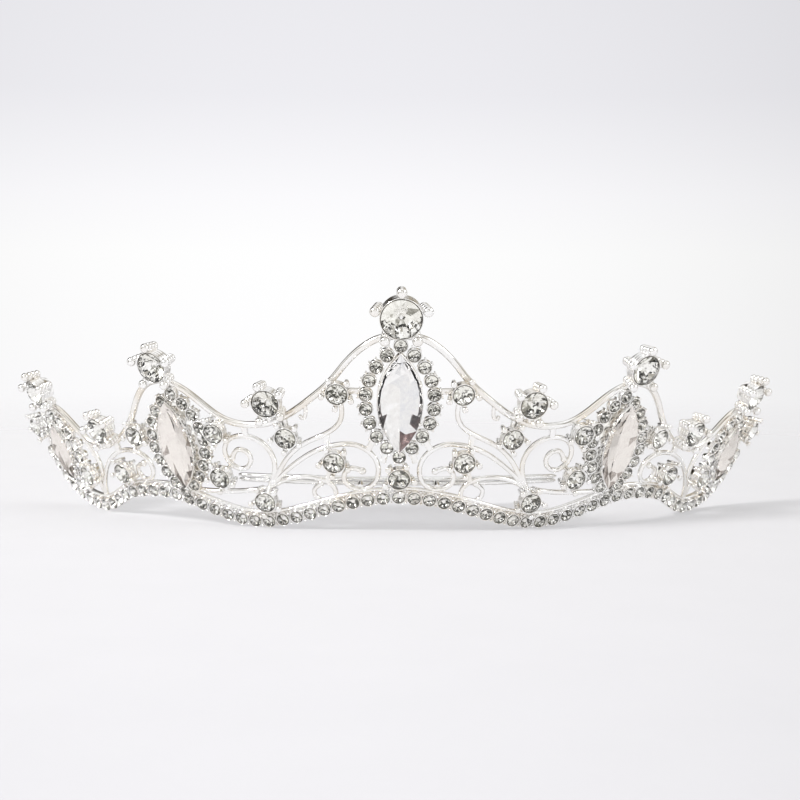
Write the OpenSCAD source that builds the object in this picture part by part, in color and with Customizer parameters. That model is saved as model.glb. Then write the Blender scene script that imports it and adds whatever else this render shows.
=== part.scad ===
// Bridal tiara: an arched, outward-leaning openwork front of cast wires, set with
// round and marquise stones, on a scalloped stone band, with a wire hair comb behind.
//
// Everything on the front is placed on one leaning face, unrolled flat: s is the
// distance round the band from the middle of the front (mm, + to the right), h is
// the distance up the leaning face, and out is the height above the wires' middle.
// The origin is under the middle of the whole tiara, on the surface it stands on.
// +X is right, -Y is the front, +Z is up.

/* [Face] */
// Radius of the head circle that the front follows
head_r = 85; // [80:1:95]
// Outward lean of the face at the middle of the front, degrees
lean_front = 18.75; // [15:0.25:22]
// Lean gained at 100 mm round the band, degrees
lean_gain = 9.3; // [5:0.1:12]

/* [Stones] */
// Diameter of the stones of the band and of the halos
small_stone_d = 2.4; // [2:0.1:2.4]
// Diameter of the stones in the openwork
medium_stone_d = 4.0; // [3.2:0.1:4.2]
// Diameter of the stones in the valleys of the rail
valley_stone_d = 5.3; // [4.5:0.1:5.6]
// Diameter of the top stone in the middle
centre_finial_d = 7.6; // [6.5:0.1:8]
// Diameter of the top stones beside it
side_finial_d = 6.0; // [5:0.1:6.2]
// Diameter of the top stones at the ends
end_finial_d = 5.5; // [4.5:0.1:5.7]
// Spacing of the stones along the band
band_pitch = 2.88; // [2.88:0.01:3.2]

/* [Wires] */
// Radius of the top rail
rail_r = 0.7; // [0.5:0.05:0.8]
// Radius of the scrolls and branches
scroll_r = 0.52; // [0.4:0.02:0.6]
// Radius of the small curls' rods
curl_r = 0.48; // [0.4:0.02:0.55]
// Height of the flat strip behind the band's stones
strip_h = 3.0; // [2.8:0.1:3.2]
// Thickness of that strip
strip_t = 0.9; // [0.7:0.1:1.1]

/* [Comb] */
// Distance round the band from the middle to each end of the comb
comb_half = 32; // [28:1:34]
// Length of the comb's teeth
tooth_length = 30; // [24:1:34]
// Radius of the comb's wire
comb_wire_r = 0.42; // [0.35:0.01:0.45]
// Number of bent double teeth
tooth_pairs = 17; // [13:1:17]

/* [Hidden] */

// Height of the face's h = 0 line, which puts the lowest cups on the ground.
face_lift = 1.18;
// Distance from the front of the head circle back to the origin.
depth_shift = 7.26;

wire_sides = 8;
steps = 2;
left = -1;
right = 1;

// Outlines on the unrolled face, [s, h], right half; each is smoothed into a curve.
band_line = [
    [0, 6.4], [6, 5.75], [12, 4.2], [18, 2.2], [23, 0.9], [27.2, 0.5], [31, 0.9], [36, 2.3],
    [41, 4.1], [45, 5.3], [49, 5.6], [54.5, 5.2], [58, 4.1], [62, 2.1], [65.5, 0.7], [69, 0.6],
    [73, 1.4], [76.5, 3.4], [79, 6.4], [80.6, 10], [81.3, 13.4], [81.2, 16]
];
centre_rail_line = [
    [0, 38.9], [2.8, 38.8], [5, 37.7], [7.2, 35.8], [9.2, 33.4], [11, 30.8], [13, 28.5],
    [15.5, 26.2], [18, 24.1], [20.5, 22.4], [23.5, 21.1], [27, 20.7], [30, 21.1], [32.5, 22.3],
    [34.7, 24.2], [36.8, 26.3], [38.8, 28], [41, 29.2], [43, 29.6]
];
side_rail_line = [
    [43, 29.6], [45.3, 29.1], [47.4, 27.5], [49.2, 25.1], [50.8, 22.3], [52.5, 19.9],
    [54.5, 17.8], [57, 16], [60, 14.7], [62.8, 14.1]
];
end_rail_line = [
    [62.8, 14.1], [65, 14.8], [67, 16.3], [68.8, 18.4], [70.6, 20.6], [72.5, 22.3],
    [74.5, 22.7], [76.6, 22], [78.6, 20.6], [80.2, 18.8]
];
upper_branch_line = [
    [10.5, 27], [10, 24.8], [10.1, 22.6], [11.1, 20.7], [13, 19.2], [15.2, 18.1], [17.2, 17],
    [19, 15.6], [20.6, 13.8], [22, 11.6], [23.2, 9.4], [24.4, 7.4], [25, 5.2], [25.3, 2.4]
];
centre_scroll_line = [
    [24.2, 7.6], [22.4, 9.8], [20.4, 11.7], [18.2, 13.5], [15.8, 15.2], [13.2, 16.4],
    [10.5, 17.1], [8, 17.1], [5.8, 16], [4.3, 14.2], [3.7, 12.1], [4, 9.9], [5.2, 8.3],
    [7, 7.6], [8.9, 8.1], [10.1, 9.5], [9.9, 11.2], [8.7, 12.2], [7.3, 11.8]
];
lower_curl_line = [
    [24.5, 7.3], [22.6, 8.6], [20.3, 9.6], [17.8, 10.1], [15.4, 9.9], [13.3, 9.2], [12, 7.9],
    [11.7, 6.3], [12.6, 5.1], [14.2, 4.9], [15.6, 5.8], [15.9, 7.3], [15, 8.3]
];
inner_scroll_line = [
    [24.8, 7], [23.6, 9.6], [23, 12], [23.2, 14.3], [24.3, 16.4], [26.2, 17.9], [28.6, 18.4],
    [30.9, 17.8], [32.3, 16.1], [32.5, 13.9], [31.4, 12], [29.6, 11.2], [28, 12.1],
    [27.5, 13.8], [28.4, 15.2], [30, 15.4], [30.9, 14.2]
];
outer_scroll_line = [
    [67, 2.2], [65.6, 5.2], [64, 8], [61.7, 10.7], [58.8, 12.8], [55.6, 13.9], [52.4, 13.6],
    [50.3, 11.9], [49.8, 9.6], [50.8, 7.9], [52.6, 7.5], [53.8, 8.7], [53.6, 10.3], [52.4, 10.9]
];
base_wire_line = [[24.9, 7.3], [27.5, 6.9], [30.5, 6.4], [34, 6.2], [37.5, 6.1], [41, 6.3]];
end_wire_line = [
    [66.6, 2.2], [65.7, 5], [65, 8], [65, 11], [65.9, 13.4], [67.2, 16.2]
];
peg_line = [[16.3, 25.4], [16.3, 23.8], [16.5, 22.6], [17.1, 22.3], [17.4, 23]];

// Radius of the ball at a curl's tip.
tip_ball_r = 0.72;

// Short flat links that tie neighbouring wires together, [from, to].
tab_w = 1.1;
tab_t = 0.8;
tabs = [
    [[12.8, 16.4], [12.9, 19.4]], [[5.6, 16], [4.6, 18]], [[6.1, 8], [6.3, 6.6]],
    [[6.6, 28], [9, 28.1]], [[27.9, 18.3], [27.8, 20.8]], [[13.2, 9.2], [12.2, 12.8]],
    [[57.6, 13.2], [57.4, 16]], [[2.9, 13.4], [2.4, 15.8]]
];

// Round stones in the openwork, right half: [s, h, foot s, foot h]; the foot is the
// rod that ties the cup to the wire beside it.
middle_stone = [0, 10.8, 0, 7.4];
medium_stones = [
    [10.45, 28.2, 11.9, 29.8], [11.5, 14.15, 12.6, 11.6], [19.8, 19, 20.3, 22.4],
    [24.95, 5.3, 25.2, 2.4], [33.1, 19.6, 32, 22], [33.35, 10.05, 33.6, 6.2],
    [50.2, 18.2, 53, 19.2], [56.2, 9.5, 56.6, 5.4], [67.6, 7.9, 66.6, 2.6], [80.2, 18.3, 80.4, 16]
];
valley_stones = [[22.6, 26.2, 23, 21.4], [58.9, 19, 59.2, 15.1]];
centre_finial = [0, 43.4, 0, 38.9];
side_finial = [42.1, 33.4, 42.6, 29.6];
end_finial = [73.4, 27.1, 73.6, 22.7];

// Marquise settings: [s, h of the middle, tilt, halo half height, halo half width, gaps
// a side, stone half length, stone half width].
centre_set = [0, 26.15, 0, 11.25, 5.85, 9, 9.6, 4.05];
side_set = [41.5, 16.5, 4, 10.6, 5.5, 9, 8.9, 3.75];
end_set = [73.8, 13, 0, 8.3, 4.25, 7, 6.2, 2.6];

cup_wall = 0.16;
cup_base = -0.7;
small_girdle = 0.95;
medium_girdle = 2.2;
valley_girdle = 2.5;
side_finial_girdle = 2.8;
centre_finial_girdle = 3.3;
marquise_girdle = 1.9;
bezel_wall = 0.32;

// How far a marquise stone reaches out over the wall it rests on.
overhang = 0.25;

// Outward lean of the claws and posts round the cups, degrees.
flare = 13;

comb_h = 8.1;
comb_out = -2.7;
comb_wire_gap = 0.96;
tooth_drop = 0.135;
tooth_gap = 1.7;

silver = "gainsboro";
clear = "aliceblue";
smoke = "lavenderblush";
steel = "silver";

// ---------- the leaning face ----------

function turn_at(s) = s / head_r * 180 / PI;
function lean_at(s) = lean_front + lean_gain * pow(s / 100, 2);
function face_normal(s) = [
    sin(turn_at(s)) * cos(lean_at(s)), -cos(turn_at(s)) * cos(lean_at(s)), -sin(lean_at(s))
];
function on_face(s, h, out = 0) =
    let (r = head_r + h * sin(lean_at(s)) + out * cos(lean_at(s)))
    [
        r * sin(turn_at(s)),
        head_r - r * cos(turn_at(s)) - depth_shift,
        h * cos(lean_at(s)) - out * sin(lean_at(s)) + face_lift
    ];

// Stands its children on the face: their +Z points out of it and their +Y up it.
module place(s, h, out = 0, tilt = 0) {
    translate(on_face(s, h, out))
        rotate([0, 0, turn_at(s)])
            rotate([90 + lean_at(s), 0, tilt])
                children();
}

// ---------- curves and swept wires ----------

function blend(a, b, c, d, t) = 0.5 * (
    2 * b + (c - a) * t + (2 * a - 5 * b + 4 * c - d) * t * t + (3 * b - a - 3 * c + d) * t * t * t
);
function smoothed(p, n) = concat(
    [
        for (i = [0 : len(p) - 2]) for (k = [0 : n - 1])
            blend(p[max(i - 1, 0)], p[i], p[i + 1], p[min(i + 2, len(p) - 1)], k / n)
    ],
    [p[len(p) - 1]]
);
function both_halves(p) = concat([for (i = [len(p) - 1 : -1 : 1]) [-p[i][0], p[i][1]]], p);
function sided(p, side) = [for (q = p) [side * q[0], q[1]]];

function unit(v) = v / norm(v);
function tangent(p, i) = unit(p[min(i + 1, len(p) - 1)] - p[max(i - 1, 0)]);
function ring(at, t, normal, section) =
    let (n = unit(normal - t * (normal * t)), b = cross(n, t))
    [for (q = section) at + b * q[0] + n * q[1]];
function ring_at(p, i, normal, section) = ring(p[i], tangent(p, i), normal, section);
function disc(r) = [
    for (k = [0 : wire_sides - 1]) r * [cos(360 * k / wire_sides), sin(360 * k / wire_sides)]
];
function block(w, t) = [[w / 2, -t / 2], [w / 2, t / 2], [-w / 2, t / 2], [-w / 2, -t / 2]];

// Closed skin over a row of rings with the same number of points.
module skin(rings) {
    n = len(rings[0]);
    last = (len(rings) - 1) * n;
    sides = [
        for (i = [0 : len(rings) - 2]) for (k = [0 : n - 1]) each [
            [i * n + k, i * n + (k + 1) % n, (i + 1) * n + (k + 1) % n],
            [i * n + k, (i + 1) * n + (k + 1) % n, (i + 1) * n + k]
        ]
    ];
    first_cap = [for (k = [n - 1 : -1 : 0]) k];
    last_cap = [for (k = [0 : n - 1]) last + k];
    polyhedron([for (r = rings) for (p = r) p], concat(sides, [first_cap, last_cap]), convexity = 10);
}

// Sweeps a section along a line on the face.
module sweep_on_face(line, section, out = 0) {
    path = [for (q = line) on_face(q[0], q[1], out)];
    skin([for (i = [0 : len(path) - 1]) ring_at(path, i, face_normal(line[i][0]), section)]);
}

module wire(line, r, side) {
    sweep_on_face(smoothed(sided(line, side), steps), disc(r));
}

// Wire whose last end swells into a ball.
module curl(line, r, side) {
    flat = smoothed(sided(line, side), steps);
    path = [for (q = flat) on_face(q[0], q[1])];
    last = len(path) - 1;
    normal = face_normal(flat[last][0]);
    t = tangent(path, last);
    skin(concat(
        [for (i = [0 : last]) ring_at(path, i, face_normal(flat[i][0]), disc(r))],
        [
            for (x = [0.3, 0.6, 1, 1.4, 1.75, 1.95])
                ring(path[last] + t * x * tip_ball_r, t, normal, disc(tip_ball_r * sqrt(x * (2 - x))))
        ]
    ));
}

// Straight round rod between two places on the face.
module rod(from, to, side, r) {
    a = on_face(side * from[0], from[1]);
    d = on_face(side * to[0], to[1]) - a;
    translate(a)
        rotate([0, acos(d[2] / norm(d)), atan2(d[1], d[0])])
            cylinder(r = r, h = norm(d), $fn = 24);
}

// ---------- stones and settings ----------

// Cup with a closed back and a seat for the stone's girdle.
module cup(d, girdle) {
    r = d / 2;
    outer = r + cup_wall;
    rotate_extrude($fn = 48)
        polygon([
            [0, cup_base], [0.62 * outer, cup_base], [0.9 * outer, cup_base + 0.35 * (girdle - cup_base)],
            [outer, girdle - 0.25], [outer, girdle + 0.15], [r + 0.04, girdle + 0.15],
            [r + 0.04, girdle - 0.12], [0.5 * r, girdle - 0.5 * r - 0.14], [0, girdle - 0.5 * r - 0.14]
        ]);
}

// Round stone on its girdle: flat table, crown and a blunt pavilion.
module round_stone(d, girdle) {
    r = d / 2;
    rotate_extrude($fn = 48)
        polygon([
            [0, girdle - 0.5 * r - 0.1], [0.46 * r, girdle - 0.5 * r - 0.1], [r, girdle - 0.04],
            [r, girdle + 0.06], [0.58 * r, girdle + 0.3 * r], [0, girdle + 0.3 * r]
        ]);
}

// Stands its children round a cup, each leaning away from the middle.
module around(d, count, turn) {
    for (k = [0 : count - 1])
        rotate([0, 0, 90 + turn + 360 * k / count])
            translate([d / 2 + 0.4, 0, 0])
                rotate([0, flare, 0])
                    children();
}

// Small bead-topped claws round a medium cup.
module claws(d, girdle, turn) {
    top = girdle + 0.3;
    around(d, 5, turn)
        rotate_extrude($fn = 24)
            polygon([
                [0, -0.3], [0.4, -0.3], [0.44, top - 0.5], [0.58, top - 0.25],
                [0.5, top + 0.2], [0, top + 0.42]
            ]);
}

// Ribbed spool-shaped posts with ball tops round a large cup.
module posts(d, girdle, turn) {
    low = 0.2;
    ribs = 3;
    rib = (girdle + 0.1 - low) / ribs;
    top = low + ribs * rib + 0.5;
    r = 0.6 + 0.05 * d;
    around(d, 5, turn)
        rotate_extrude($fn = 24)
            polygon(concat(
                [[0, low]],
                [for (j = [0 : ribs - 1]) each [
                    [0.6 * r, low + j * rib], [r, low + (j + 0.25) * rib],
                    [r, low + (j + 0.75) * rib], [0.6 * r, low + (j + 0.98) * rib]
                ]],
                [for (a = [-35 : 21 : 70]) [r * cos(a), top + 0.8 * sin(a)]],
                [[0, top + 0.8]]
            ));
}

// Pointed oval made of two arcs, 2 * l long along Y and 2 * w wide.
function arc_r(l, w) = (l * l + w * w) / (2 * w);
module lens(l, w) {
    r = arc_r(l, w);
    intersection() {
        translate([w - r, 0]) circle(r = r, $fn = 180);
        translate([r - w, 0]) circle(r = r, $fn = 180);
    }
}

// Centres of a halo's stones round a setting: both tips and the stones of each side.
function halo_spots(set) =
    let (r = arc_r(set[3], set[4]), a = asin(set[3] / r), n = set[5])
    concat(
        [[0, set[3]], [0, -set[3]]],
        [
            for (side = [left, right]) for (i = [1 : n - 1])
                let (t = -a + 2 * a * i / n) [side * (r * cos(t) + set[4] - r), r * sin(t)]
        ]
    );

// Stands its children at a place inside a marquise setting.
module in_set(set, side, x, y) {
    c = cos(set[2]);
    sn = sin(set[2]);
    place(side * (set[0] + c * x - sn * y), set[1] + sn * x + c * y) children();
}

module halo_cups(set, side) {
    color(silver)
        for (q = halo_spots(set))
            in_set(set, side, q[0], q[1]) cup(small_stone_d, small_girdle);
}

module halo_stones(set, side) {
    color(clear)
        for (q = halo_spots(set))
            in_set(set, side, q[0], q[1]) round_stone(small_stone_d, small_girdle);
}

// Marquise bezel: a pointed oval tray with an upright wall.
module bezel(set, side) {
    color(silver)
        place(side * set[0], set[1], 0, side * set[2])
            difference() {
                translate([0, 0, cup_base])
                    linear_extrude(marquise_girdle - 0.1 - cup_base)
                        lens(set[6] + 1.6 * bezel_wall, set[7] + bezel_wall);
                translate([0, 0, cup_base + 0.5])
                    linear_extrude(marquise_girdle + 1)
                        lens(set[6] + 0.03, set[7] + 0.03);
            }
}

// One level of the marquise stone's outline.
function lens_ring(l, w, z, n = 12) =
    let (r = arc_r(l, w), a = asin(l / r))
    concat(
        [for (i = [0 : n - 1]) let (t = -a + 2 * a * i / n) [r * cos(t) + w - r, r * sin(t), z]],
        [for (i = [0 : n - 1]) let (t = -a + 2 * a * i / n) [r - w - r * cos(t), -r * sin(t), z]]
    );

// Marquise stone: keel below, girdle on the bezel wall, and a crown up to a pointed table.
module marquise(set, side) {
    l = set[6] + overhang;
    w = set[7] + overhang;
    color(set[0] == 0 ? clear : smoke)
        place(side * set[0], set[1], 0, side * set[2])
            skin([
                lens_ring(0.62 * l, 0.25 * w, marquise_girdle - 1.7),
                lens_ring(l - 1.2 * overhang, w - 1.2 * overhang, marquise_girdle - 0.1),
                lens_ring(l, w, marquise_girdle - 0.1),
                lens_ring(l, w, marquise_girdle + 0.1),
                lens_ring(0.8 * l, 0.52 * w, marquise_girdle + 0.22 * w + 0.3)
            ]);
}

// ---------- the band ----------

band_curve = smoothed(band_line, 4);
function reach(p, i) = i == 0 ? 0 : reach(p, i - 1) + norm(p[i] - p[i - 1]);
band_reach = [for (i = [0 : len(band_curve) - 1]) reach(band_curve, i)];
band_s = [for (i = [0 : len(band_curve) - 1]) [band_reach[i], band_curve[i][0]]];
band_h = [for (i = [0 : len(band_curve) - 1]) [band_reach[i], band_curve[i][1]]];
band_end = band_reach[len(band_reach) - 1];
band_count = floor((band_end - 2.2) / band_pitch);
band_spots = [
    for (i = [-band_count : band_count])
        let (d = abs(i) * band_pitch) [sign(i) * lookup(d, band_s), lookup(d, band_h)]
];
strip_rise = 0.15;

module base_band() {
    color(silver)
        sweep_on_face(
            smoothed(both_halves(band_line), steps),
            [for (q = block(strip_h, strip_t)) q + [strip_rise, -0.3]]
        );
}

module band_rim() {
    color(silver)
        sweep_on_face(
            smoothed(both_halves(band_line), steps),
            [for (q = disc(0.4)) q + [strip_rise + strip_h / 2, 0.15]]
        );
}

module band_cups() {
    color(silver)
        for (q = band_spots)
            place(q[0], q[1]) cup(small_stone_d, small_girdle);
}

module band_stones() {
    color(clear)
        for (q = band_spots)
            place(q[0], q[1]) round_stone(small_stone_d, small_girdle);
}

// ---------- the openwork ----------

module centre_rail() {
    color(silver) sweep_on_face(smoothed(both_halves(centre_rail_line), steps), disc(rail_r));
}

module side_rail(side) {
    color(silver) wire(side_rail_line, rail_r, side);
}

module end_rail(side) {
    color(silver) wire(end_rail_line, rail_r, side);
}

module upper_branch(side) {
    color(silver) wire(upper_branch_line, scroll_r, side);
}

module centre_scroll(side) {
    color(silver) curl(centre_scroll_line, scroll_r, side);
}

module lower_curl(side) {
    color(silver) curl(lower_curl_line, curl_r, side);
}

module inner_scroll(side) {
    color(silver) curl(inner_scroll_line, scroll_r, side);
}

module outer_scroll(side) {
    color(silver) curl(outer_scroll_line, scroll_r, side);
}

module base_wire(side) {
    color(silver) wire(base_wire_line, scroll_r, side);
}

module end_wire(side) {
    color(silver) wire(end_wire_line, scroll_r, side);
}

module tab_links(side) {
    color(silver)
        for (t = tabs)
            sweep_on_face(sided(t, side), block(tab_w, tab_t));
}

module rail_pegs() {
    color(silver)
        for (side = [left, right])
            wire(peg_line, 0.4, side);
}

// ---------- round stones of the openwork ----------

// Every medium place: [side, stone].
medium_places = concat(
    [[right, middle_stone]],
    [for (side = [left, right]) for (q = medium_stones) [side, q]]
);

// Every large place: [side, stone, diameter, girdle height, turn of the posts].
finial_places = concat(
    [[right, centre_finial, centre_finial_d, centre_finial_girdle, 0]],
    [
        for (side = [left, right]) each [
            [side, side_finial, side_finial_d, side_finial_girdle, 0],
            [side, end_finial, end_finial_d, side_finial_girdle, 0]
        ]
    ]
);
valley_places = [
    for (side = [left, right]) for (q = valley_stones)
        [side, q, valley_stone_d, valley_girdle, -15 * side]
];

module medium_cups(side) {
    color(silver)
        for (p = medium_places)
            if (p[0] == side)
                place(side * p[1][0], p[1][1]) cup(medium_stone_d, medium_girdle);
}

module medium_claws(side) {
    color(silver)
        for (p = medium_places)
            if (p[0] == side)
                place(side * p[1][0], p[1][1]) claws(medium_stone_d, medium_girdle, -28 * side);
}

module medium_gems() {
    color(clear)
        for (p = medium_places)
            place(p[0] * p[1][0], p[1][1]) round_stone(medium_stone_d, medium_girdle);
}

module large_cups(places) {
    color(silver)
        for (p = places)
            place(p[0] * p[1][0], p[1][1]) cup(p[2], p[3]);
}

module large_gems(places) {
    color(clear)
        for (p = places)
            place(p[0] * p[1][0], p[1][1]) round_stone(p[2], p[3]);
}

module stone_posts() {
    color(silver)
        for (p = concat(valley_places, finial_places))
            place(p[0] * p[1][0], p[1][1]) posts(p[2], p[3], p[4]);
}

// Rods that tie the cups to the wires beside them.
module cup_feet() {
    color(silver)
        for (p = concat(medium_places, valley_places, finial_places))
            rod([p[1][0], p[1][1]], [p[1][2], p[1][3]], p[0], scroll_r);
}

// ---------- the comb ----------

function comb_point(s, back) =
    on_face(s, comb_h, comb_out) + back * [-sin(turn_at(s)), cos(turn_at(s)), -tooth_drop];

// Two wires side by side, one above the other.
module comb_spine() {
    line = [for (i = [-10 : 10]) [comb_half * i / 10, comb_h]];
    color(steel)
        for (row = [-0.5, 0.5])
            sweep_on_face(
                [for (q = line) q + [0, row * comb_wire_gap]], disc(comb_wire_r + 0.06), comb_out
            );
}

// Bent double teeth: out along one leg, round the tip and back along the other.
module comb_tooth(s) {
    bend = [for (t = [-60 : 30 : 60]) [tooth_gap / 2 * sin(t), tooth_length - 1 + cos(t)]];
    path = concat(
        [for (back = [-0.3, tooth_length - 1.6]) comb_point(s - tooth_gap / 2, back)],
        [for (q = bend) comb_point(s + q[0], q[1])],
        [for (back = [tooth_length - 1.6, -0.3]) comb_point(s + tooth_gap / 2, back)]
    );
    skin([for (i = [0 : len(path) - 1]) ring_at(path, i, [0, 0, 1], disc(comb_wire_r))]);
}

module comb_teeth() {
    pitch = 2 * (comb_half - 1.4) / (tooth_pairs - 1);
    color(steel)
        for (i = [0 : tooth_pairs - 1])
            comb_tooth((i - (tooth_pairs - 1) / 2) * pitch);
}

// Short posts between the openwork and the comb's spine.
module comb_ties() {
    color(silver)
        for (spot = [[-24, 8.3], [-7.2, 8.1], [0, 8.6], [7.2, 8.1], [24, 8.3]])
            place(spot[0], spot[1], comb_out)
                cylinder(r = 0.6, h = -comb_out, $fn = 24);
}

// ---------- nodes ----------

base_band();
band_rim();
band_cups();
band_stones();
centre_rail();
side_rail(left);  // side_rail_left
side_rail(right);  // side_rail_right
end_rail(left);  // end_rail_left
end_rail(right);  // end_rail_right
upper_branch(left);  // upper_branch_left
upper_branch(right);  // upper_branch_right
centre_scroll(left);  // centre_scroll_left
centre_scroll(right);  // centre_scroll_right
lower_curl(left);  // lower_curl_left
lower_curl(right);  // lower_curl_right
inner_scroll(left);  // inner_scroll_left
inner_scroll(right);  // inner_scroll_right
outer_scroll(left);  // outer_scroll_left
outer_scroll(right);  // outer_scroll_right
base_wire(left);  // base_wire_left
base_wire(right);  // base_wire_right
end_wire(left);  // end_wire_left
end_wire(right);  // end_wire_right
tab_links(left);  // tabs_left
tab_links(right);  // tabs_right
rail_pegs();
bezel(centre_set, right);  // centre_bezel
bezel(side_set, left);  // side_bezel_left
bezel(side_set, right);  // side_bezel_right
bezel(end_set, left);  // end_bezel_left
bezel(end_set, right);  // end_bezel_right
marquise(centre_set, right);  // centre_marquise
marquise(side_set, left);  // side_marquise_left
marquise(side_set, right);  // side_marquise_right
marquise(end_set, left);  // end_marquise_left
marquise(end_set, right);  // end_marquise_right
halo_cups(centre_set, right);  // centre_halo_cups
halo_cups(side_set, left);  // side_halo_cups_left
halo_cups(side_set, right);  // side_halo_cups_right
halo_cups(end_set, left);  // end_halo_cups_left
halo_cups(end_set, right);  // end_halo_cups_right
halo_stones(centre_set, right);  // centre_halo_stones
halo_stones(side_set, left);  // side_halo_stones_left
halo_stones(side_set, right);  // side_halo_stones_right
halo_stones(end_set, left);  // end_halo_stones_left
halo_stones(end_set, right);  // end_halo_stones_right
medium_cups(left);  // medium_cups_left
medium_cups(right);  // medium_cups_right
medium_claws(left);  // medium_claws_left
medium_claws(right);  // medium_claws_right
medium_gems();  // medium_stones
large_cups(valley_places);  // valley_cups
large_gems(valley_places);  // valley_stones
large_cups(finial_places);  // finial_cups
large_gems(finial_places);  // finial_stones
stone_posts();
cup_feet();
comb_spine();
comb_teeth();
comb_ties();
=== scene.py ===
"""Looks for the bridal tiara: silver-plated wire, cut stones in cups, and a pale studio."""

import math
import random

import bmesh
import bpy
import numpy as np
from mathutils import Matrix, Vector


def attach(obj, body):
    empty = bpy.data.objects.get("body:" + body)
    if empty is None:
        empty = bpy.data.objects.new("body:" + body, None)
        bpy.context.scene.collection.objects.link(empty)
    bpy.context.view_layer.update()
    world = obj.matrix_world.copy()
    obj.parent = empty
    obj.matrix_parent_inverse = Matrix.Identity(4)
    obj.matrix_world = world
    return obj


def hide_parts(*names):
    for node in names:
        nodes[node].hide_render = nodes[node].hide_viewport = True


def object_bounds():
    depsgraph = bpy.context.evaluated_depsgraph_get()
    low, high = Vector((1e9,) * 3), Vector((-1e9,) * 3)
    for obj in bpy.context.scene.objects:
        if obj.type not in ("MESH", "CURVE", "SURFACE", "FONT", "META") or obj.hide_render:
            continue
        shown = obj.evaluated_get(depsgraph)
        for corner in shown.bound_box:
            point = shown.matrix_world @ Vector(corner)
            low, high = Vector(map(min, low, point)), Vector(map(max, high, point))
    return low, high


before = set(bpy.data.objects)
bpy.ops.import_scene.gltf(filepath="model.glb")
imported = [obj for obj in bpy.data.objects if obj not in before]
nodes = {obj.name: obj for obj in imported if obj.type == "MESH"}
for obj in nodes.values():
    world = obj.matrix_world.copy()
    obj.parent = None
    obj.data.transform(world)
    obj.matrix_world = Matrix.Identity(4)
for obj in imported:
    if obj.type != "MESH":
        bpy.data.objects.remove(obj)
cad_lo, cad_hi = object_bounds()

MM = 0.001
SIDES = ("left", "right")
# Vertices of a CAD mesh that lie closer than this become one.
WELD = 0.002 * MM

scene = bpy.context.scene
# A point near the axis of the head circle. Every stone faces away from it.
head = Vector((0, cad_hi.y + 50 * MM, 0))


# ---------- node materials ----------


def new_material(name):
    mat = bpy.data.materials.new(name)
    mat.use_nodes = True
    nt = mat.node_tree
    return mat, nt, nt.nodes["Principled BSDF"]


def plug(nt, value, socket):
    """Sets a socket to a number, or links another node's output to it."""
    if isinstance(value, float):
        socket.default_value = value
    else:
        nt.links.new(value, socket)


def maths(nt, operation, a, b):
    node = nt.nodes.new("ShaderNodeMath")
    node.operation = operation
    plug(nt, a, node.inputs[0])
    plug(nt, b, node.inputs[1])
    return node.outputs[0]


def mix(nt, blend, share, a, b):
    """Colour a, blended with b by a share that is a number or an output."""
    node = nt.nodes.new("ShaderNodeMix")
    node.data_type = "RGBA"
    node.blend_type = blend
    plug(nt, share, node.inputs["Factor"])
    nt.links.new(a, node.inputs["A"])
    nt.links.new(b, node.inputs["B"])
    return node.outputs["Result"]


def noise(nt, vector, scale, detail, rough=0.5):
    node = nt.nodes.new("ShaderNodeTexNoise")
    node.inputs["Scale"].default_value = scale
    node.inputs["Detail"].default_value = detail
    node.inputs["Roughness"].default_value = rough
    nt.links.new(vector, node.inputs["Vector"])
    return node.outputs["Fac"]


def object_noise(nt, scale, detail, rough=0.5):
    coord = nt.nodes.new("ShaderNodeTexCoord")
    return noise(nt, coord.outputs["Object"], scale, detail, rough)


def ramp(nt, fac, *stops):
    """Colours along fac, each stop a place and a colour."""
    node = nt.nodes.new("ShaderNodeValToRGB")
    els = node.color_ramp.elements
    while len(els) < len(stops):
        els.new(0.5)
    for el, (at, colour) in zip(els, stops):
        el.position = at
        el.color = (*colour, 1)
    nt.links.new(fac, node.inputs["Fac"])
    return node.outputs["Color"]


def spread(nt, fac, low, high, from_low=0.3, from_high=0.7):
    """Maps fac between two limits onto the range from low to high."""
    node = nt.nodes.new("ShaderNodeMapRange")
    for name, value in (
        ("From Min", from_low), ("From Max", from_high), ("To Min", low), ("To Max", high)
    ):
        node.inputs[name].default_value = value
    nt.links.new(fac, node.inputs["Value"])
    return node.outputs["Result"]


def plated(name, pale, warm, rough, grain_scale):
    """Bright plated metal: cloudy warmth, hand-polishing marks and a fine cast grain."""
    mat, nt, bsdf = new_material(name)
    bsdf.inputs["Metallic"].default_value = 1.0
    cloud = object_noise(nt, scale=140, detail=2.0)
    nt.links.new(ramp(nt, cloud, (0.4, pale), (0.72, warm)), bsdf.inputs["Base Color"])
    marks = object_noise(nt, scale=900, detail=4.0)
    nt.links.new(spread(nt, marks, *rough), bsdf.inputs["Roughness"])
    bump = nt.nodes.new("ShaderNodeBump")
    bump.inputs["Strength"].default_value = 0.25
    bump.inputs["Distance"].default_value = 0.04 * MM
    grain = object_noise(nt, scale=grain_scale, detail=4.0, rough=0.6)
    nt.links.new(grain, bump.inputs["Height"])
    nt.links.new(bump.outputs["Normal"], bsdf.inputs["Normal"])
    return mat


def crystal(name, tint, bend):
    """Clear cut glass with faint polishing haze. A low bend lets the foil behind it show plainly."""
    mat, nt, bsdf = new_material(name)
    bsdf.inputs["Transmission Weight"].default_value = 1.0
    bsdf.inputs["IOR"].default_value = bend
    bsdf.inputs["Coat Weight"].default_value = 0.8
    haze = object_noise(nt, scale=400, detail=2.0)
    pale = tuple(min(1, c * 1.04) for c in tint)
    nt.links.new(ramp(nt, haze, (0.35, tint), (0.65, pale)), bsdf.inputs["Base Color"])
    nt.links.new(spread(nt, haze, 0.0, 0.015), bsdf.inputs["Roughness"])
    return mat


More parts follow.
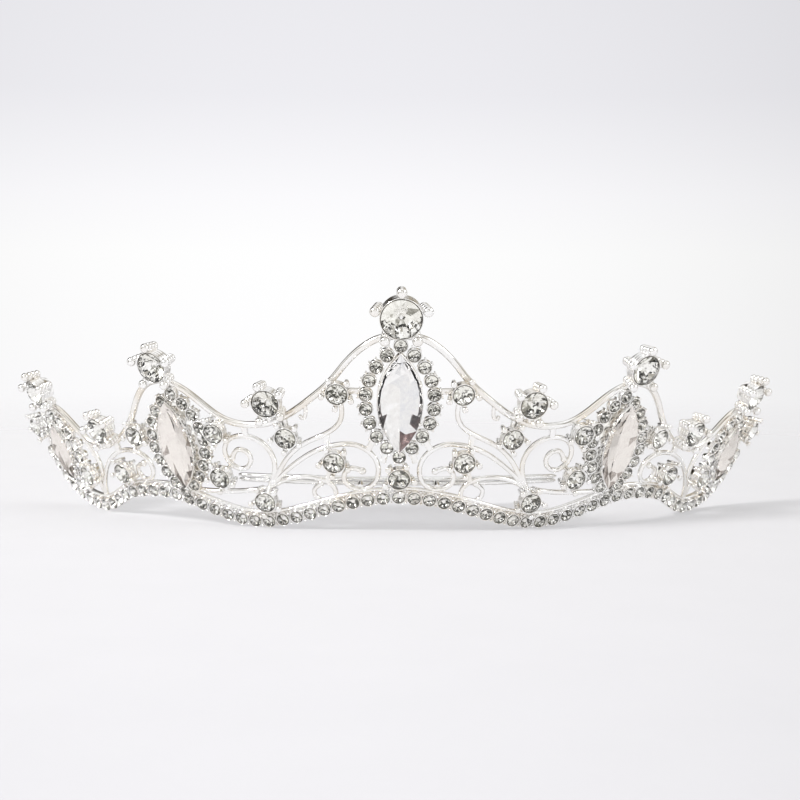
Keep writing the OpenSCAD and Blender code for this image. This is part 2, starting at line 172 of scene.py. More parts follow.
def foil(name, *stops):
    """Mirror foil behind a cut stone. Each facet's tone is a painted reflection, from dark to
    bright, with small flaws in it.
    """
    mat, nt, bsdf = new_material(name)
    bsdf.inputs["Metallic"].default_value = 1.0
    facet = nt.nodes.new("ShaderNodeAttribute")
    facet.attribute_type = "GEOMETRY"
    facet.attribute_name = "tone"
    tone = facet.outputs["Fac"]
    flaws = spread(nt, object_noise(nt, scale=1500, detail=3.0), -0.07, 0.07)
    colour = ramp(nt, maths(nt, "ADD", tone, flaws), *stops)
    nt.links.new(colour, bsdf.inputs["Base Color"])
    nt.links.new(spread(nt, tone, 0.12, 0.03, 0.0, 1.0), bsdf.inputs["Roughness"])
    return mat


def gap_shade(name):
    """Painted shade and dark reflection in the narrow gap between a stone and its cup, drawn as a
    dark mottled line.
    """
    mat, nt, bsdf = new_material(name)
    bsdf.inputs["Metallic"].default_value = 0.7
    gap_mottle = object_noise(nt, scale=700, detail=3.0)
    colour = ramp(nt, gap_mottle, (0.35, (0.075, 0.07, 0.055)), (0.7, (0.33, 0.31, 0.27)))
    nt.links.new(colour, bsdf.inputs["Base Color"])
    nt.links.new(spread(nt, gap_mottle, 0.3, 0.5), bsdf.inputs["Roughness"])
    return mat


SILVER = plated("silver_plate", (0.965, 0.96, 0.955), (0.9, 0.865, 0.81), (0.05, 0.16), 2600)
RAIL = plated("rail_plate", (0.955, 0.95, 0.94), (0.86, 0.8, 0.71), (0.05, 0.14), 2200)
WIRE = plated("comb_wire", (0.95, 0.95, 0.95), (0.87, 0.86, 0.84), (0.1, 0.2), 3000)
CLEAR = crystal("clear_crystal", (0.99, 0.99, 0.985), 1.27)
PALE = crystal("marquise_crystal", (0.995, 0.99, 0.98), 1.14)
SMOKE = crystal("champagne_crystal", (0.915, 0.89, 0.865), 1.14)
# The foils' colour ramps, from painted dark reflections to painted bright ones.
GREY_FOIL = foil(
    "grey_foil_painted_reflections",
    (0.0, (0.06, 0.06, 0.05)),
    (0.3, (0.36, 0.35, 0.31)),
    (0.6, (0.82, 0.81, 0.77)),
    (0.9, (1.0, 0.995, 0.97)),
)
ROSE_FOIL = foil(
    "rose_foil_painted_reflections",
    (0.0, (0.08, 0.075, 0.075)),
    (0.2, (0.2, 0.13, 0.125)),
    (0.34, (0.45, 0.34, 0.33)),
    (0.5, (0.66, 0.66, 0.67)),
    (0.7, (0.8, 0.81, 0.83)),
    (0.85, (0.9, 0.89, 0.87)),
    (1.0, (0.98, 0.98, 0.98)),
)
SMOKE_FOIL = foil(
    "smoke_foil_painted_reflections",
    (0.0, (0.08, 0.07, 0.06)),
    (0.3, (0.34, 0.3, 0.27)),
    (0.6, (0.78, 0.75, 0.72)),
    (0.9, (0.97, 0.95, 0.925)),
)
# Painted shade and dark reflection for the gap round each stone.
GAP_SHADE = gap_shade("stone_gap_shade")

# Places in a stone's list of materials. EDGE is the painted shade and dark reflection of the gap
# round a stone.
GLASS, FOIL, EDGE = 0, 1, 2


# ---------- reading the CAD solids ----------


def solids(node):
    """The points of each separate solid of a CAD node."""
    bm = bmesh.new()
    bm.from_mesh(nodes[node].data)
    bmesh.ops.remove_doubles(bm, verts=bm.verts, dist=WELD)
    bm.verts.ensure_lookup_table()
    seen, found = set(), []
    for start in bm.verts:
        if start.index in seen:
            continue
        seen.add(start.index)
        stack, points = [start], []
        while stack:
            v = stack.pop()
            points.append(v.co[:])
            for e in v.link_edges:
                other = e.other_vert(v)
                if other.index not in seen:
                    seen.add(other.index)
                    stack.append(other)
        found.append(np.array(points))
    bm.free()
    return sorted(found, key=lambda p: (round(p[:, 0].mean(), 5), round(p[:, 2].mean(), 5)))


def axes_of(points):
    """Mean point of a solid, and its directions with the longest first."""
    mean = points.mean(0)
    _, _, rows = np.linalg.svd(points - mean, full_matrices=False)
    return Vector(mean), [Vector(r) for r in rows]


def reach_of(points, mean, axis):
    """How far each point lies along an axis through the mean, and the largest distance from it."""
    rel = points - np.array(mean)
    along = rel @ np.array(axis)
    return along, np.linalg.norm(rel - np.outer(along, np.array(axis)), axis=1).max()


def upright(n, at):
    """Turns a direction so that it points away from the head."""
    away = Vector((at.x - head.x, at.y - head.y, 0))
    return n if n.dot(away) > 0 else -n


def basis(origin, x, y, z):
    """Matrix that puts the axes x, y and z at a point."""
    rows = [(x[i], y[i], z[i], origin[i]) for i in range(3)]
    return Matrix((*rows, (0, 0, 0, 1)))


# Height of a round stone's crown, for a radius of 1.
CROWN = 0.3


def round_places(node):
    """Matrix and radius of each round stone of a node. Its girdle is at 0, +Z is out, +Y is up."""
    places = []
    for points in solids(node):
        mean, rows = axes_of(points)
        n = upright(rows[2], mean)
        along, radius = reach_of(points, mean, n)
        girdle = mean + n * (along.max() - CROWN * radius)
        y = (Vector((0, 0, 1)) - n * n.z).normalized()
        places.append((basis(girdle, y.cross(n), y, n), radius))
    return places


def rod_places(node):
    """Matrix at the foot with +Z along it, length and radius of each long turned solid."""
    rods = []
    for points in solids(node):
        mean, rows = axes_of(points)
        axis = upright(rows[0], mean)
        along, radius = reach_of(points, mean, axis)
        foot = mean + axis * along.min()
        side = axis.orthogonal().normalized()
        matrix = basis(foot, side, axis.cross(side), axis)
        rods.append((matrix, along.max() - along.min(), radius))
    return rods


# ---------- making pieces ----------


class Builder:
    """Gathers faces in metres, then makes one object of them."""

    def __init__(self):
        self.points, self.faces, self.slots, self.tones, self.smooth = [], [], [], [], []

    def add(self, points, faces, slot=0, tones=None, smooth=True):
        """slot is one number for all the faces, or a list with one for each."""
        base = len(self.points)
        self.points.extend(points)
        for i, f in enumerate(faces):
            self.faces.append([base + k for k in f])
            self.slots.append(slot[i] if isinstance(slot, list) else slot)
            self.tones.append(tones[i] if tones else 0.5)
            self.smooth.append(smooth)

    def make(self, name, materials, slot, replaced=()):
        mesh = bpy.data.meshes.new(name)
        mesh.from_pydata([tuple(p) for p in self.points], [], self.faces)
        for m in materials:
            mesh.materials.append(m)
        mesh.polygons.foreach_set("material_index", self.slots)
        mesh.polygons.foreach_set("use_smooth", self.smooth)
        tone = mesh.attributes.new("tone", "FLOAT", "FACE")
        tone.data.foreach_set("value", self.tones)
        mesh.update()
        piece = bpy.data.objects.new(name, mesh)
        scene.collection.objects.link(piece)
        dress(piece, replaced)

    def make_stones(self, node):
        self.make(f"cut_{node}", [CLEAR, GREY_FOIL, GAP_SHADE], "clear_crystal", [node])

    def make_plated(self, name, *replaced):
        self.make(f"plated_{name}", [SILVER], "silver_plate", replaced)


def dress(piece, replaced=()):
    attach(piece, "root")
    if replaced:
        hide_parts(*replaced)


def lathe(profile, matrix, sides):
    """Points and faces of a profile of (radius, height) turned about the matrix's Z."""
    points, faces, rings = [], [], []
    for r, z in profile:
        if r == 0:
            rings.append([len(points)] * sides)
            points.append(matrix @ Vector((0, 0, z)))
        else:
            rings.append(list(range(len(points), len(points) + sides)))
            for k in range(sides):
                a = 2 * math.pi * k / sides
                points.append(matrix @ Vector((r * math.cos(a), r * math.sin(a), z)))
    for low, high in zip(rings, rings[1:]):
        for k in range(sides):
            j = (k + 1) % sides
            face = [low[k], low[j], high[j], high[k]]
            faces.append([v for i, v in enumerate(face) if v != face[i - 1]])
    return points, faces


def smooth_copy(node, levels=0, grow=0.0, bevel=0.0, slot="silver_plate", material=SILVER):
    """A rounder copy of a CAD node. grow makes up for what subdivision takes off a wire."""
    mesh = nodes[node].data.copy()
    mesh.materials.clear()
    mesh.materials.append(material)
    bm = bmesh.new()
    bm.from_mesh(mesh)
    bmesh.ops.remove_doubles(bm, verts=bm.verts, dist=WELD)
    bmesh.ops.join_triangles(
        bm,
        faces=bm.faces,
        angle_face_threshold=math.radians(30),
        angle_shape_threshold=math.radians(60),
    )
    bmesh.ops.recalc_face_normals(bm, faces=bm.faces)
    bm.normal_update()
    if grow:
        moves = [v.normal.copy() * grow for v in bm.verts]
        for v, move in zip(bm.verts, moves):
            v.co += move
    for f in bm.faces:
        f.smooth = True
    bm.to_mesh(mesh)
    bm.free()
    made = "plated" if slot == "silver_plate" else "drawn"
    piece = bpy.data.objects.new(f"{made}_{node}", mesh)
    scene.collection.objects.link(piece)
    if bevel:
        mod = piece.modifiers.new("edges", "BEVEL")
        mod.width = bevel
        mod.segments = 3
        mod.limit_method = "ANGLE"
        mod.angle_limit = math.radians(40)
    if levels:
        mod = piece.modifiers.new("round", "SUBSURF")
        mod.levels = mod.render_levels = levels
    dress(piece, [node])


# ---------- stones ----------

# Facets of a round stone that are backed with foil.
FOILED = ("lower", "main")


def brilliant(turn):
    """Unit round brilliant, girdle radius 1: points, faces, and what each face is."""
    table_r, star_r, low_r, inner_r, culet_r = 0.56, 0.76, 0.45, 0.24, 0.05
    half_girdle, depth = 0.03, 0.82
    inner_share = 0.86
    half_step = math.pi / 8
    points, faces, kinds = [], [], []

    def ring(r, z, n, offset=0.0):
        first = len(points)
        for k in range(n):
            a = turn + offset + 2 * math.pi * k / n
            points.append(Vector((r * math.cos(a), r * math.sin(a), z)))
        return [first + k for k in range(n)]

    slope = (half_girdle - CROWN) / (1 - table_r)
    star_z = CROWN + (star_r * math.cos(half_step) - table_r) * slope
    drop = (low_r * math.cos(half_step) - 1) * (depth - half_girdle)
    table = ring(table_r, CROWN, 8)
    star = ring(star_r, star_z, 8, half_step)
    top = ring(1.0, half_girdle, 16)
    bottom = ring(1.0, -half_girdle, 16)
    low = ring(low_r, -half_girdle + drop, 8, half_step)
    inner = ring(inner_r, -inner_share * depth, 8)
    culet = ring(culet_r, -depth, 8)

    def face(kind, *vs):
        faces.append(list(vs))
        kinds.append(kind)

    face("table", *table)
    for k in range(8):
        j = (k + 1) % 8
        face("star", table[k], star[k], table[j])
        face("kite", table[k], star[k - 1], top[2 * k], star[k])
        face("upper", star[k], top[2 * k], top[2 * k + 1])
        face("upper", star[k], top[2 * k + 1], top[(2 * k + 2) % 16])
        face("lower", low[k], bottom[2 * k + 1], bottom[2 * k])
        face("lower", low[k], bottom[(2 * k + 2) % 16], bottom[2 * k + 1])
        face("main", inner[k], low[k], bottom[2 * k], low[k - 1])
        face("main", inner[k], inner[j], low[k])
        face("main", culet[k], culet[j], inner[j])
        face("main", culet[k], inner[j], inner[k])
    for k in range(16):
        j = (k + 1) % 16
        face("girdle", top[k], bottom[k], bottom[j], top[j])
    face("main", *reversed(culet))
    return points, faces, kinds


def add_round_stones(builder, node, rng, dark=0.2):
    """Cut stones at a node's places: glass above, foil below toned with painted reflections, and a
    line of painted shade round the edge where the stone meets its cup.

    dark is the share of the foiled facets that are painted with dark reflections."""
    gap = 0.05 * MM
    places = round_places(node)
    for matrix, radius in places:
        points, faces, kinds = brilliant(rng.uniform(0, math.pi / 4))
        slots, tones = [], []
        for kind in kinds:
            # The girdle faces take the painted shade of the gap.
            slot, tone = (EDGE, 0.2) if kind == "girdle" else (GLASS, 0.5)
            # Foiled facets get a painted reflection tone, dark for a share of them.
            if kind in FOILED:
                slot = FOIL
                u = rng.random()
                tone = rng.uniform(0.0, 0.3) if u < dark else rng.uniform(0.7, 1.0)
            slots.append(slot)
            tones.append(tone)
        builder.add([matrix @ (p * radius) for p in points], faces, slots, tones, smooth=False)
        # A thin ring at the girdle, painted with the shade and dark reflection of the gap between
        # stone and cup.
        wide = min(0.11 * MM, 0.09 * radius)
        line = [
            (radius - wide, 0.03 * radius + 0.62 * wide + 0.004 * MM),
            (radius, 0.035 * radius + 0.03 * MM),
            (radius + gap, -0.05 * MM),
        ]
        builder.add(*lathe(line, matrix, 32), EDGE)
    return places


# ---------- settings ----------

# Thickness of a cup's wall.
WALL = 0.2 * MM


def cup_profile(r, depth, ridges):
    """Cup round a stone: tapered foot, wall with shallow ridges, rolled rim, and a seat."""
    o = r + WALL
    base = -depth
    z0, z1 = base + 0.42 * depth, -0.2 * MM
    rows = [
        (0.0, base),
        (0.6 * o, base),
        (0.68 * o, base + 0.04 * depth),
        (0.9 * o, base + 0.35 * depth),
    ]
    for k in range(ridges):
        a, b = z0 + (z1 - z0) * k / ridges, z0 + (z1 - z0) * (k + 1) / ridges
        mid = (a + b) / 2
        rows += [
            (o - 0.09 * MM, a),
            (o, a + 0.3 * (mid - a)),
            (o + 0.02 * MM, mid),
            (o, b - 0.3 * (b - mid)),
        ]
    return rows + [
        (o - 0.05 * MM, z1),
        (o + 0.015 * MM, -0.06 * MM),
        (o + 0.03 * MM, 0.06 * MM),
        (o - 0.01 * MM, 0.15 * MM),
        (o - 0.07 * MM, 0.18 * MM),
        (r + 0.045 * MM, 0.13 * MM),
        (r + 0.04 * MM, -0.1 * MM),
        (0.1 * r, -0.84 * r),
        (0.0, -0.86 * r),
    ]


def add_cups(builder, places, depth, ridges, sides):
    for matrix, r in places:
        builder.add(*lathe(cup_profile(r, depth, ridges), matrix, sides))


def prong(builder, matrix, x, y, low, top, r):
    """Little grain that stands from height low and is rounded off above height top."""
    rows = [
        (0.75 * r, low),
        (0.8 * r, top - 1.1 * r),
        (r, top - 0.5 * r),
        (0.95 * r, top),
        (0.7 * r, top + 0.5 * r),
        (0.35 * r, top + 0.78 * r),
        (0.0, top + 0.86 * r),
    ]
    builder.add(*lathe(rows, matrix @ Matrix.Translation((x, y, 0)), 12))


def dome(r, height, z, step):
    """Rows of a rounded head that is widest at z, from a little below there to near its top."""
    angles = [math.radians(a) for a in range(-40, 90, step)]
    return [(r * math.cos(t), z + height * math.sin(t)) for t in angles]


def post_profile(length, r):
    """Ribbed spool with a ball on top."""
    ball = 0.8 * MM
    rib = (length - ball - 0.5 * MM) / 3
    top = length - ball
    # One rib: share of the radius, and place along the rib.
    bulge = (
        (0.62, 0.0), (0.84, 0.06), (0.97, 0.2), (1.0, 0.42), (0.97, 0.66), (0.84, 0.82), (0.62, 0.9),
    )
    rows = [(0.0, 0.0)]
    rows += [(f * r, j * rib + g * rib) for j in range(3) for f, g in bulge]
    rows.append((0.6 * r, top - 0.62 * ball))
    return rows + dome(r, ball, top, 13) + [(0.0, length)]


def claw_profile(length, r):
    """Round claw with two collars, a neck and a rounded head."""
    stem, collar, head_height = 0.72 * r, 0.84 * r, 0.62 * r
    rows = [(0.0, 0.0), (stem, 0.0)]
    for f, g in (
        (stem, 0.28), (collar, 0.31), (collar, 0.37), (stem, 0.4),
        (stem, 0.55), (collar, 0.58), (collar, 0.64), (0.66 * r, 0.68), (0.7 * r, 0.74),
    ):
        rows.append((f, g * length))
    return rows + dome(r, head_height, length - head_height, 16) + [(0.0, length)]


# ---------- marquise stones ----------


def lens_point(l, w, t):
    """Point at angle share t (-1 to 1) up one side of a pointed oval."""
    r = (l * l + w * w) / (2 * w)
    a = math.asin(l / r) * t
    return r * math.cos(a) + w - r, r * math.sin(a)


def lens_ring(l, w, z, n):
    right = [lens_point(l, w, -1 + 2 * i / n) for i in range(n)]
    return [Vector((x, y, z)) for x, y in right] + [Vector((-x, -y, z)) for x, y in right]


def marquise(builder, node, rng, reflection_of):
    """Cut pointed oval: table and two rows of crown facets in glass over a keeled foil back, whose
    facets carry painted reflection tones.
    """
    points = solids(node)[0]
    mean, rows = axes_of(points)
    n = upright(rows[2], mean)
    y = rows[0] if rows[0].z > 0 else -rows[0]
    x = y.cross(n)
    rel = points - np.array(mean)
    lo, hi = [[f(rel @ np.array(v)) for v in (x, y, n)] for f in (np.min, np.max)]
    l, w = (hi[1] - lo[1]) / 2, (hi[0] - lo[0]) / 2
    centre = mean + x * ((lo[0] + hi[0]) / 2) + y * ((lo[1] + hi[1]) / 2)
    matrix = basis(centre, x, y, n)
    top = hi[2]
    girdle = top - 0.22 * w - 0.3 * MM
    keel_z = girdle - 1.2 * MM
    half_edge = 0.08 * MM
    count = 8
    size = 2 * count
    rings = [
        lens_ring(0.74 * l, 0.55 * w, top, count),
        lens_ring(0.89 * l, 0.8 * w, top - 0.42 * (top - girdle), count),
        lens_ring(l, w, girdle + half_edge, count),
        lens_ring(l, w, girdle - half_edge, count),
    ]
    # Turns the middle crown ring half a step, so that the facets interlock.
    middle = rings[1]
    rings[1] = [middle[0]] + [(middle[k] + middle[(k + 1) % size]) / 2 for k in range(1, size)]
    pts = [p for ring in rings for p in ring]
    faces, slots, tones = [list(range(size))], [GLASS], [0.5]

    def face(slot, tone, *vs):
        faces.append(list(vs))
        slots.append(slot)
        tones.append(tone)

    table, crown, upper, lower = (size * i for i in range(4))
    for k in range(size):
        j = (k + 1) % size
        face(GLASS, 0.5, table + k, crown + k, table + j)
        face(GLASS, 0.5, table + j, crown + k, crown + j)
        face(GLASS, 0.5, crown + k, upper + k, upper + j)
        face(GLASS, 0.5, crown + k, upper + j, crown + j)
        face(FOIL, 0.8, upper + k, lower + k, lower + j, upper + j)

    # The back: long facets from the girdle to a keel on the stone's long axis.
    # It gets shallower towards the tips, where the stone is narrow.
    def back(x, y, share):
        shallow = 1 - 0.8 * (y / (0.8 * l)) ** 2
        return Vector((x, y, girdle - share * (girdle - keel_z) * shallow))

    keel = [back(0, f * l, 1.0) for f in (-0.56, -0.3, 0.0, 0.3, 0.56)]
    halfway = [back(p.x, p.y, 0.55) for p in lens_ring(0.8 * l, 0.56 * w, 0, count)]
    first_keel, first_half = len(pts), len(pts) + len(keel)
    pts += keel + halfway

    # Each back facet gets a painted reflection tone from its place on the stone.
    def toned(mid, *vs):
        face(FOIL, reflection_of(mid.x / w, mid.y / l, rng), *vs)

    def nearest(p):
        """Keel point that the facets at a point of the back run to."""
        return min(range(len(keel)), key=lambda i: abs(keel[i].y - p.y * 0.72))

    for k in range(size):
        j = (k + 1) % size
        p, q = first_half + k, first_half + j
        for tri in ((lower + k, p, lower + j), (lower + j, p, q)):
            toned((pts[tri[0]] + pts[tri[1]] + pts[tri[2]]) / 3, *tri)
        ka, kb = nearest(pts[p]), nearest(pts[q])
        mid = (pts[p] + pts[q] + keel[ka]) / 3
        toned(mid, p, first_keel + ka, q)
        if ka != kb:
            toned(mid, q, first_keel + ka, first_keel + kb)
    builder.add([matrix @ p for p in pts], faces, slots, tones, smooth=False)
    return matrix, l, w, girdle


def centre_painted_reflections(x, y, rng):
    """Painted reflections: warm white left, cooler right, stripes above, dark shoulders below and a
    red-brown tip.
    """
    if y < -0.55 and -0.05 < x < 0.5:
        return rng.uniform(0.12, 0.26)
    if -0.7 < y < -0.3 and abs(x) > 0.6:
        return rng.uniform(0.0, 0.1)
    if y > 0.5:
        return rng.choice((0.74, 0.95, 1.0))
    return rng.uniform(0.84, 0.96) if x < 0 else rng.uniform(0.7, 0.8)


def side_painted_reflections(x, y, rng):
    """Even smoke, with painted dark reflections on some facets at the lower tip and along both
    edges.
    """
    if y < -0.55:
        return rng.choice((0.15, 0.4, 0.9))
    if abs(x) > 0.55 and rng.random() < 0.25:
        return rng.uniform(0.3, 0.5)
    return rng.uniform(0.84, 0.96)


# ---------- building the tiara ----------

rng = random.Random(41)

for node in ("centre_rail", *(f"{n}_rail_{s}" for n in ("side", "end") for s in SIDES)):
    smooth_copy(node, levels=2, grow=0.055 * MM, material=RAIL)
wires = (
    "upper_branch", "centre_scroll", "lower_curl", "inner_scroll", "outer_scroll",
    "base_wire", "end_wire",
)
for node in (f"{n}_{s}" for n in wires for s in SIDES):
    smooth_copy(node, levels=2, grow=0.04 * MM)
for node in ("rail_pegs", "band_rim"):
    smooth_copy(node, levels=1, grow=0.03 * MM)
for node, grow in (("comb_spine", 0.035 * MM), ("comb_teeth", 0.03 * MM)):
    smooth_copy(node, levels=1, grow=grow, slot="comb_wire", material=WIRE)
for node in ("base_band", "tabs_left", "tabs_right"):
    smooth_copy(node, bevel=0.14 * MM)
settings = ("centre", "side_left", "side_right", "end_left", "end_right")


def part(kind, place):
    """CAD node name of one of the five settings, such as side_bezel_left."""
    bits = place.split("_")
    return "_".join([bits[0], kind, *bits[1:]])


for place in settings:
    smooth_copy(part("bezel", place), bevel=0.08 * MM)

# How deep the cups are.
SMALL_DEPTH, MEDIUM_DEPTH, VALLEY_DEPTH, FINIAL_DEPTH = 1.65 * MM, 2.9 * MM, 3.2 * MM, 3.5 * MM
# A stone with a larger radius than this has a deeper cup than its neighbours.
LARGE_STONE, EXTRA_DEPTH = 3.5 * MM, 0.5 * MM
# Low end, height where the rounding starts, and radius of each kind of grain.
BAND_GRAIN = (-0.9 * MM, 0.1 * MM, 0.27 * MM)
HALO_GRAIN = (-1.0 * MM, 0.12 * MM, 0.26 * MM)

# The band: its stones, cups and grains.
stones, cups, grains = Builder(), Builder(), Builder()
band = add_round_stones(stones, "band_stones", rng)
stones.make_stones("band_stones")
add_cups(cups, band, SMALL_DEPTH, ridges=1, sides=24)
cups.make_plated("band_cups", "band_cups")
for (a, ra), (b, _) in zip(band, band[1:]):
    gap = (b.translation - a.translation) / 2
    local = a.to_3x3().inverted() @ gap
    side = Vector((-local.y, local.x, 0)).normalized()
    for sign in (1, -1):
        spot = local + side * sign * 0.86 * ra
        prong(grains, a, spot.x, spot.y, *BAND_GRAIN)
grains.make_plated("band_grains")

# The five marquise settings and their halos.
for place in settings:
    stones, cups, grains, gem = Builder(), Builder(), Builder(), Builder()
    gem_node = part("marquise", place)
    stones_node, cups_node = part("halo_stones", place), part("halo_cups", place)
    halo = add_round_stones(stones, stones_node, rng)
    if place == "centre":
        looks, slot, reflection_of = [PALE, ROSE_FOIL], "marquise_crystal", centre_painted_reflections
    else:
        looks, slot, reflection_of = [SMOKE, SMOKE_FOIL], "champagne_crystal", side_painted_reflections
    matrix, l, w, girdle = marquise(gem, gem_node, rng, reflection_of)
    gem.make(f"cut_{gem_node}", looks, slot, [gem_node])
    stones.make_stones(stones_node)
    add_cups(cups, halo, SMALL_DEPTH, ridges=1, sides=24)
    cups.make_plated(cups_node, cups_node)
    for m, r in halo:
        out = m.to_3x3().inverted() @ (m.translation - matrix.translation)
        a = math.atan2(out.y, out.x)
        reach = r + 0.34 * MM
        for turn in (-0.52, 0.52):
            prong(grains, m, reach * math.cos(a + turn), reach * math.sin(a + turn), *HALO_GRAIN)
    # Four claws hold each marquise at its shoulders.
    for t in (-0.36, 0.36):
        x, y = lens_point(l + 0.04 * MM, w + 0.04 * MM, t)
        for sign in (1, -1):
            prong(grains, matrix, sign * x, sign * y, -1.2 * MM, girdle + 0.35 * MM, 0.34 * MM)
    grains.make_plated(f"{place}_grains")

# The round stones of the openwork.
stones, cups, claws = Builder(), Builder(), Builder()
medium = add_round_stones(stones, "medium_stones", rng, dark=0.13)
stones.make_stones("medium_stones")
add_cups(cups, medium, MEDIUM_DEPTH, ridges=2, sides=32)
cups.make_plated("medium_cups", "medium_cups_left", "medium_cups_right")
for side in SIDES:
    for matrix, length, r in rod_places(f"medium_claws_{side}"):
        claws.add(*lathe(claw_profile(length, r), matrix, 16))
claws.make_plated("medium_claws", "medium_claws_left", "medium_claws_right")

# The stones in the valleys and on the peaks, and the posts round them.
for place, depth in (("valley", VALLEY_DEPTH), ("finial", FINIAL_DEPTH)):
    stones, cups = Builder(), Builder()
    large = add_round_stones(stones, f"{place}_stones", rng, dark=0.18)
    stones.make_stones(f"{place}_stones")
    for matrix, r in large:
        deep = depth + (EXTRA_DEPTH if r > LARGE_STONE else 0)
        add_cups(cups, [(matrix, r)], deep, ridges=3, sides=48)
    cups.make_plated(f"{place}_cups", f"{place}_cups")
posts = Builder()
for matrix, length, r in rod_places("stone_posts"):
    posts.add(*lathe(post_profile(length, r), matrix, 20))
posts.make_plated("stone_posts", "stone_posts")

for node in ("cup_feet", "comb_ties"):
    smooth_copy(node, bevel=0.06 * MM)


# ---------- studio ----------


def build_floor():
    """Large flat sheet, slightly uneven in colour, that fades out away from the tiara."""
    rings, sides, radius = 40, 96, 1.6
    angles = [2 * math.pi * k / sides for k in range(sides)]
    bm = bmesh.new()
    rows = [[bm.verts.new((0, 0, 0))]]
    for i in range(1, rings + 1):
        r = radius * (i / rings) ** 2
        rows.append([bm.verts.new((r * math.cos(a), r * math.sin(a), 0)) for a in angles])
    for inner, outer in zip(rows, rows[1:]):
        for k in range(sides):
            j = (k + 1) % sides
            if len(inner) == 1:
                bm.faces.new((inner[0], outer[k], outer[j]))
            else:
                bm.faces.new((inner[k], outer[k], outer[j], inner[j]))
    mesh = bpy.data.meshes.new("floor")
    bm.to_mesh(mesh)
    bm.free()
    mat, nt, bsdf = new_material("floor_paper")
    bsdf.inputs["Roughness"].default_value = 0.9
    bsdf.inputs["Specular IOR Level"].default_value = 0.1
    paper = object_noise(nt, scale=60, detail=4.0)
    colour = ramp(nt, paper, (0.3, (0.725, 0.72, 0.745)), (0.7, (0.74, 0.735, 0.76)))
    nt.links.new(colour, bsdf.inputs["Base Color"])
    # Partly clear near the tiara, so that the backdrop's painted light shows through and weakens the
    # floor's shadows, and wholly clear from 0.42 m outwards.
    coord = nt.nodes.new("ShaderNodeTexCoord")
    distance = nt.nodes.new("ShaderNodeVectorMath")
    distance.operation = "LENGTH"
    nt.links.new(coord.outputs["Object"], distance.inputs[0])
    fade = nt.nodes.new("ShaderNodeMapRange")
    fade.interpolation_type = "SMOOTHSTEP"
    fade.inputs["From Min"].default_value = 0.06
    fade.inputs["From Max"].default_value = 0.42
    fade.inputs["To Min"].default_value = 0.42
    nt.links.new(distance.outputs["Value"], fade.inputs["Value"])
    clear = nt.nodes.new("ShaderNodeBsdfTransparent")
    shader = nt.nodes.new("ShaderNodeMixShader")
    nt.links.new(fade.outputs["Result"], shader.inputs["Fac"])
    nt.links.new(bsdf.outputs["BSDF"], shader.inputs[1])
    nt.links.new(clear.outputs["BSDF"], shader.inputs[2])
    nt.links.new(shader.outputs["Shader"], nt.nodes["Material Output"].inputs["Surface"])
    mesh.materials.append(mat)
    floor = bpy.data.objects.new("floor", mesh)
    scene.collection.objects.link(floor)
    floor.location.z = cad_lo.z - 0.02 * MM


# Dim openings in the white room: where each lies, its half width, and its colour.
ROOM_PATCHES = (
    ((-0.5, 0.6, 0.6), 0.4, (0.06, 0.05, 0.04)),
    ((0.45, 0.66, 0.58), 0.2, (0.72, 0.62, 0.42)),
    ((-0.12, -0.98, 0.12), 0.13, (0.6, 0.6, 0.58)),
    ((-0.93, -0.2, -0.1), 0.22, (0.22, 0.21, 0.19)),
    ((0.93, -0.12, 0.2), 0.18, (0.25, 0.24, 0.22)),
    ((0.35, -0.7, 0.6), 0.14, (0.3, 0.28, 0.25)),
)
# How far a patch's soft edge reaches past its half width.
PATCH_EDGE = 0.09


def backdrop(nt, xyz):
    """What the camera sees: a pale gradient of painted light, brightest just behind the tiara and
    with painted shade towards the bottom and the top.
    """
    height = spread(nt, xyz.outputs["Z"], 0.0, 1.0, -0.5, 0.5)
    seen = ramp(
        nt, height,
        (0.0, (0.8, 0.795, 0.83)), (0.22, (0.83, 0.825, 0.86)), (0.31, (0.88, 0.875, 0.9)),
        (0.4, (0.985, 0.98, 0.99)), (0.53, (1.0, 1.0, 1.0)), (0.57, (0.965, 0.96, 0.98)),
        (0.64, (0.855, 0.85, 0.885)), (0.8, (0.8, 0.795, 0.83)),
    )
    # Painted shade makes it a little dimmer to the right and at the far left.
    off = maths(nt, "POWER", maths(nt, "ADD", xyz.outputs["X"], 0.05), 2.0)
    painted_side_shade = maths(nt, "MAXIMUM", maths(nt, "SUBTRACT", 1.0, off), 0.88)
    return mix(nt, "MULTIPLY", 1.0, seen, painted_side_shade)


def room(nt, coord, xyz):
    """What the metal and the stones reflect: white walls with dim openings."""
    # A dim ring behind the tiara.
    walls = ramp(
        nt, spread(nt, xyz.outputs["Y"], 0.0, 1.0, -1.0, 1.0),
        (0.0, (1.0, 1.0, 1.0)), (0.68, (1.0, 1.0, 1.0)), (0.76, (0.5, 0.49, 0.48)),
        (0.87, (0.55, 0.54, 0.53)), (0.94, (0.97, 0.97, 0.97)),
    )
    # Soft grey clouds on the upper walls give the metal its shading.
    clouds = ramp(
        nt, noise(nt, coord.outputs["Generated"], scale=3.4, detail=1.0),
        (0.4, (0.42, 0.4, 0.36)), (0.48, (1.06, 1.06, 1.06)),
    )
    upper = spread(nt, xyz.outputs["Z"], 0.0, 1.0, -0.1, 0.06)
    walls = mix(nt, "MULTIPLY", upper, walls, clouds)
    for aim, radius, colour in ROOM_PATCHES:
        apart = nt.nodes.new("ShaderNodeVectorMath")
        apart.operation = "DISTANCE"
        nt.links.new(coord.outputs["Generated"], apart.inputs[0])
        apart.inputs[1].default_value = Vector(aim).normalized()
        edge = (radius + PATCH_EDGE, (1.0, 1.0, 1.0))
        patch = ramp(nt, apart.outputs["Value"], (radius, colour), edge)
        walls = mix(nt, "MULTIPLY", 1.0, walls, patch)
    return walls


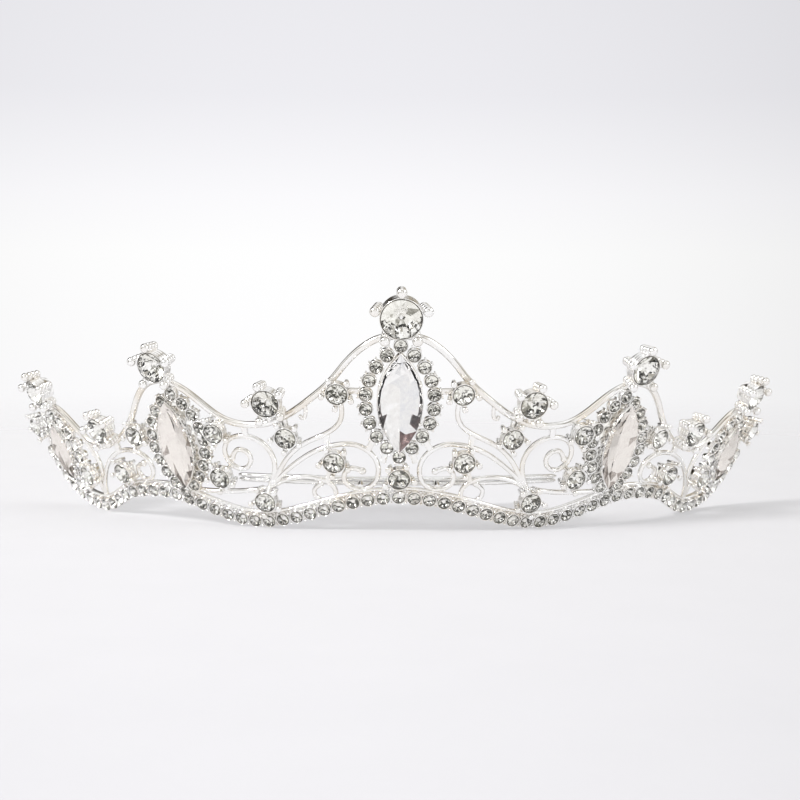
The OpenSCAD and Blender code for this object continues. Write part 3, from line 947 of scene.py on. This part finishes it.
def build_world():
    """Pale backdrop for the eye, and a white room for everything that reflects."""
    world = bpy.data.worlds.new("studio")
    scene.world = world
    world.use_nodes = True
    nt = world.node_tree
    coord = nt.nodes.new("ShaderNodeTexCoord")
    xyz = nt.nodes.new("ShaderNodeSeparateXYZ")
    nt.links.new(coord.outputs["Generated"], xyz.inputs[0])
    by_eye = nt.nodes.new("ShaderNodeLightPath").outputs["Is Camera Ray"]
    both = mix(nt, "MIX", by_eye, room(nt, coord, xyz), backdrop(nt, xyz))
    back = nt.nodes["Background"]
    nt.links.new(both, back.inputs["Color"])
    back.inputs["Strength"].default_value = 1.0


def add_light(name, at, size, power, colour):
    """Round soft light, aimed at the middle of the tiara a little above the floor."""
    data = bpy.data.lights.new(name, "AREA")
    data.shape = "DISK"
    data.size = size
    data.energy = power
    data.color = colour
    lamp = bpy.data.objects.new(name, data)
    scene.collection.objects.link(lamp)
    lamp.location = at
    aim = Vector((0, 0, 20 * MM)) - Vector(at)
    lamp.rotation_euler = aim.to_track_quat("-Z", "Y").to_euler()


def build_camera():
    """Level with the tiara's top and a little left of its middle, about 25 cm in front of it."""
    data = bpy.data.cameras.new("camera")
    data.sensor_width, data.lens = 36, 63
    data.clip_start, data.clip_end = 0.01, 50
    cam = bpy.data.objects.new("camera", data)
    scene.collection.objects.link(cam)
    yaw, pitch, roll = math.radians(1.17), math.radians(4.22), math.radians(0.41)
    at = Vector((-5.31 * MM, cad_lo.y - 248.7 * MM, 45.26 * MM))
    right = Vector((math.cos(yaw), -math.sin(yaw), 0))
    ahead = Vector((math.sin(yaw), math.cos(yaw), 0))
    gaze = ahead * math.cos(pitch) - Vector((0, 0, math.sin(pitch)))
    up = ahead * math.sin(pitch) + Vector((0, 0, math.cos(pitch)))
    x = right * math.cos(roll) + up * math.sin(roll)
    y = up * math.cos(roll) - right * math.sin(roll)
    cam.matrix_world = basis(at, x, y, -gaze)
    scene.camera = cam


build_floor()
build_world()
add_light("key", at=(-0.6, -0.4, 0.55), size=0.25, power=6.5, colour=(1.0, 0.99, 0.98))
add_light("fill", at=(0.7, -0.2, 0.5), size=0.5, power=1.2, colour=(0.97, 0.98, 1.0))
build_camera()
scene.view_settings.view_transform = "Standard"
